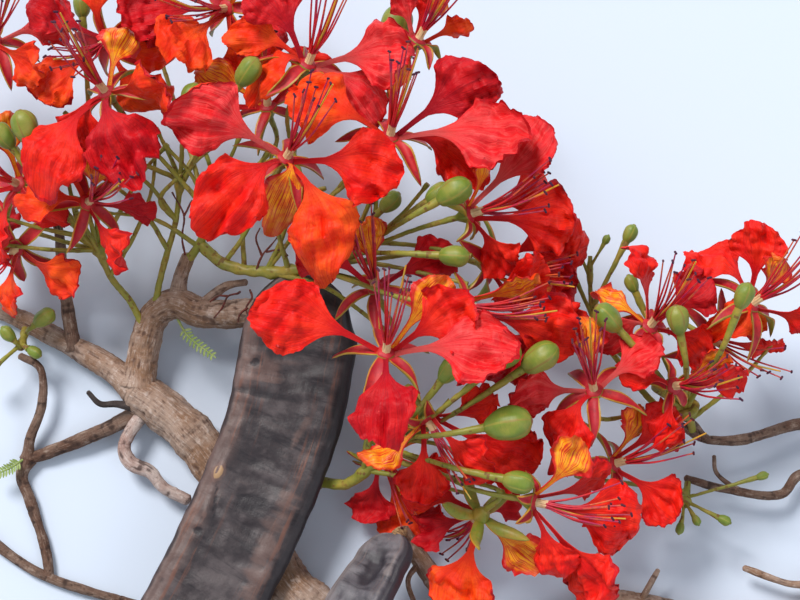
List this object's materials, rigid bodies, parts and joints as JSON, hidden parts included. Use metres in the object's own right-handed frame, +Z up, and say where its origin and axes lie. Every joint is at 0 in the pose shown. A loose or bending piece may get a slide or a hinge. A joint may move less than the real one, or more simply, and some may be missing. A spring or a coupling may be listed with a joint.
{
  "type": "cut flowering branch of a flame tree with dry pods",
  "caption": "Cut flame tree branch lying flat: a forking woody limb and twigs, long flat dry pods, green stalks with buds, and large red blooms with frilled petals.",
  "frame": {"origin": "middle of the underside of the whole branch, on the floor that it lies on", "axes": "+Z up from the floor; +Y from the cut foot towards the flowers; +X to the right, seen from above with the flowers at the top"},
  "size_m": [0.4963, 0.5432, 0.1504],
  "materials": {
    "bark": "rough grey-brown bark",
    "twig_bark": "dark scarred bark",
    "pale_bark": "pale smooth bark",
    "pod_shell": "dry leathery shell",
    "green_stalk": "smooth satin",
    "petal": "soft satin",
    "leaf": "soft matte"
  },
  "bodies": {
    "root": {"bloom_centre_1": "petal", "bloom_centre_2": "petal", "bloom_centre_3": "petal", "bloom_centre_4": "petal", "bloom_centre_5": "petal", "bloom_east_0": "petal", "bloom_east_1": "petal", "bloom_east_2": "petal", "bloom_east_3": "petal", "bloom_east_4": "petal", "bloom_east_5": "petal", "bloom_low_1": "petal", "bloom_low_2": "petal", "bloom_low_3": "petal", "bloom_low_4": "petal", "bloom_top_0": "petal", "bloom_top_1": "petal", "bloom_top_2": "petal", "bloom_top_3": "petal", "bloom_top_4": "petal", "bloom_top_5": "petal", "bloom_west_0": "petal", "bloom_west_1": "petal", "bloom_west_2": "petal", "bloom_west_3": "petal", "bloom_west_4": "petal", "bloom_west_5": "petal", "crooked_twig": "pale_bark", "low_west_branch": "twig_bark", "main_limb": "bark", "middle_branch": "bark", "middle_spur": "bark", "north_twig": "twig_bark", "pod_old": "pod_shell", "pod_young": "pod_shell", "right_arm": "bark", "right_bough": "bark", "right_twig_lower": "twig_bark", "right_twig_upper": "twig_bark", "stalk_bud_raceme": "green_stalk", "stalk_bud_umbel": "green_stalk", "stalk_east": "green_stalk", "stalk_far_west": "green_stalk", "stalk_leaning": "green_stalk", "stalk_low": "green_stalk", "stalk_middle": "green_stalk", "stalk_spur": "green_stalk", "stalk_west": "green_stalk", "upper_bough": "bark", "west_bough": "bark", "young_leaf_bough": "leaf", "young_leaf_twig": "leaf"}
  },
  "joints": []
}
